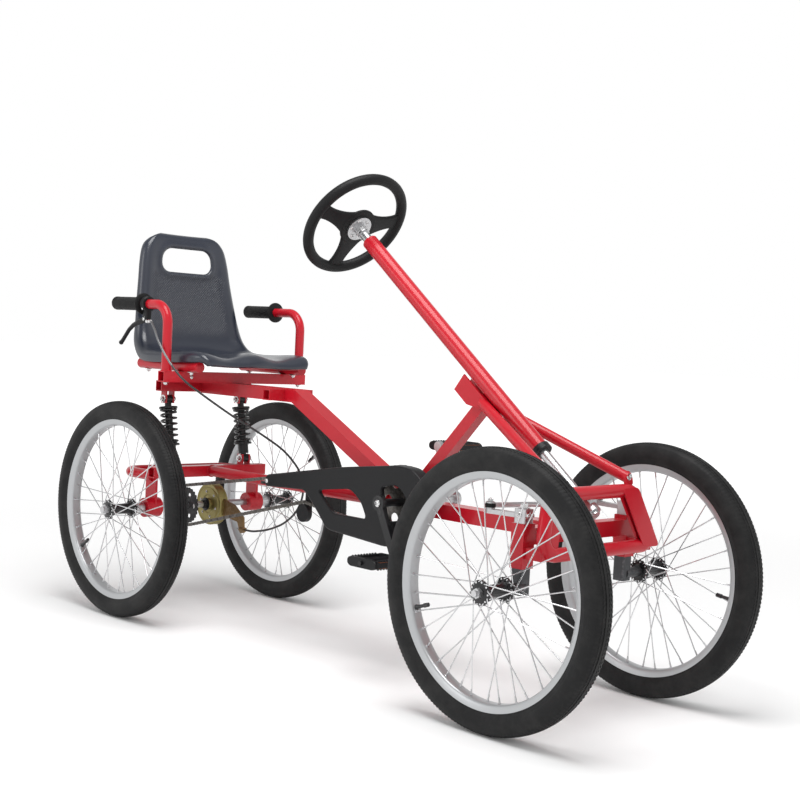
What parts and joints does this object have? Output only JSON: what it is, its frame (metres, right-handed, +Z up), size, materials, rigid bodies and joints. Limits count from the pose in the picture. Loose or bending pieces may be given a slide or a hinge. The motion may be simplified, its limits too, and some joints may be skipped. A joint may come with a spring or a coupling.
{
  "type": "four-wheel pedal bike",
  "caption": "Pedal bike on spoked wheels: red tube frame, moulded seat with arms, raked steering wheel, chain drive under a guard and a sprung rear axle.",
  "frame": {"origin": "on the ground, on the centre plane, halfway between the axles", "axes": "+X forwards, +Y to the rider's left, +Z up"},
  "size_m": [1.696, 0.566, 1.0329],
  "materials": {
    "red_paint": "gloss red powder coat",
    "black_paint": "satin black",
    "tyre": "moulded black rubber",
    "rim": "polished",
    "hub": "black",
    "zinc": "bright zinc plate",
    "gold_zinc": "yellow zinc plate",
    "chain_steel": "oiled steel",
    "black_plastic": "moulded, slightly rough",
    "seat_plastic": "moulded, fine texture",
    "grip_rubber": "ribbed grip",
    "cable": "black cable sleeve"
  },
  "bodies": {
    "frame": {"armrest_left": "red_paint", "armrest_right": "red_paint", "brake_arm": "zinc", "brake_cable": "cable", "brake_cover": "gold_zinc", "brake_lever": "black_plastic", "chain": "chain_steel", "chain_guard": "black_plastic", "column_bracket": "red_paint", "column_bush": "black_plastic", "column_tube": "red_paint", "front_axle_tube": "red_paint", "front_braces": "red_paint", "front_loop": "red_paint", "grip_left": "grip_rubber", "grip_right": "grip_rubber", "guard_stays": "black_paint", "guide_roller": "black_plastic", "lower_bearing": "zinc", "main_beam": "red_paint", "pivot_plates": "red_paint", "rear_carrier": "red_paint", "rear_loop": "red_paint", "seat_cross_tubes": "red_paint", "seat_rails": "red_paint", "seat_shell": "seat_plastic", "shock_left": "black_paint", "shock_right": "black_paint", "spring_left": "black_paint", "spring_right": "black_paint", "steering_strut": "red_paint", "swing_arm": "red_paint"},
    "steering": {"steering_wheel": "black_plastic", "steering_hub_plate": "black_plastic", "steering_shaft": "zinc"},
    "knuckle_left": {"knuckle_left": "zinc"},
    "knuckle_right": {"knuckle_right": "zinc"},
    "tie_rod_left": {"tie_rod_left": "zinc"},
    "tie_rod_right": {"tie_rod_right": "zinc"},
    "wheel_front_left": {"tyre_front_left": "tyre", "rim_front_left": "rim", "hub_front_left": "hub"},
    "wheel_front_right": {"tyre_front_right": "tyre", "rim_front_right": "rim", "hub_front_right": "hub"},
    "rear_axle": {"rear_axle": "zinc", "sprocket": "chain_steel", "brake_drum": "gold_zinc", "tyre_rear_left": "tyre", "rim_rear_left": "rim", "hub_rear_left": "hub", "tyre_rear_right": "tyre", "rim_rear_right": "rim", "hub_rear_right": "hub"},
    "crank": {"crank_arms": "zinc", "chainring": "chain_steel"},
    "pedal_left": {"pedal_left": "black_plastic"},
    "pedal_right": {"pedal_right": "black_plastic"}
  },
  "joints": [
    {"name": "steering_turn", "type": "hinge", "parent": "frame", "child": "steering", "pos_m": [-0.055, 0, 0.916], "axis": [-0.788, 0, 0.6157], "range_deg": [-35, 35]},
    {"name": "kingpin_left", "type": "hinge", "parent": "frame", "child": "knuckle_left", "pos_m": [0.588, 0.15, 0.3285], "axis": [0, 0, 1], "range_deg": [-20.1, 20.1]},
    {"name": "kingpin_right", "type": "hinge", "parent": "frame", "child": "knuckle_right", "pos_m": [0.588, -0.15, 0.3285], "axis": [0, 0, 1], "range_deg": [-20.1, 20.1]},
    {"name": "tie_rod_pin_left", "type": "hinge", "parent": "knuckle_left", "child": "tie_rod_left", "pos_m": [0.513, 0.158, 0.371], "axis": [0, 0, 1], "range_deg": [-20.1, 20.1]},
    {"name": "tie_rod_pin_right", "type": "hinge", "parent": "knuckle_right", "child": "tie_rod_right", "pos_m": [0.513, -0.158, 0.371], "axis": [0, 0, 1], "range_deg": [-20.1, 20.1]},
    {"name": "wheel_spin_front_left", "type": "hinge", "parent": "knuckle_left", "child": "wheel_front_left", "pos_m": [0.594, 0.229, 0.254], "axis": [0, 1, 0], "continuous": true},
    {"name": "wheel_spin_front_right", "type": "hinge", "parent": "knuckle_right", "child": "wheel_front_right", "pos_m": [0.594, -0.229, 0.254], "axis": [0, 1, 0], "continuous": true},
    {"name": "rear_axle_spin", "type": "hinge", "parent": "frame", "child": "rear_axle", "pos_m": [-0.594, 0, 0.254], "axis": [0, 1, 0], "continuous": true},
    {"name": "crank_spin", "type": "hinge", "parent": "frame", "child": "crank", "pos_m": [0.165, 0, 0.352], "axis": [0, 1, 0], "continuous": true},
    {"name": "pedal_spin_right", "type": "hinge", "parent": "crank", "child": "pedal_right", "pos_m": [0.21948, -0.16, 0.24508], "axis": [0, 1, 0], "continuous": true},
    {"name": "pedal_spin_left", "type": "hinge", "parent": "crank", "child": "pedal_left", "pos_m": [0.11052, 0.16, 0.45892], "axis": [0, 1, 0], "continuous": true}
  ],
  "couplings": [
    {"joint": "kingpin_left", "follows": "steering_turn", "ratio": 0.5717},
    {"joint": "kingpin_right", "follows": "steering_turn", "ratio": 0.5717},
    {"joint": "tie_rod_pin_left", "follows": "steering_turn", "ratio": -0.5717},
    {"joint": "tie_rod_pin_right", "follows": "steering_turn", "ratio": -0.5717}
  ]
}
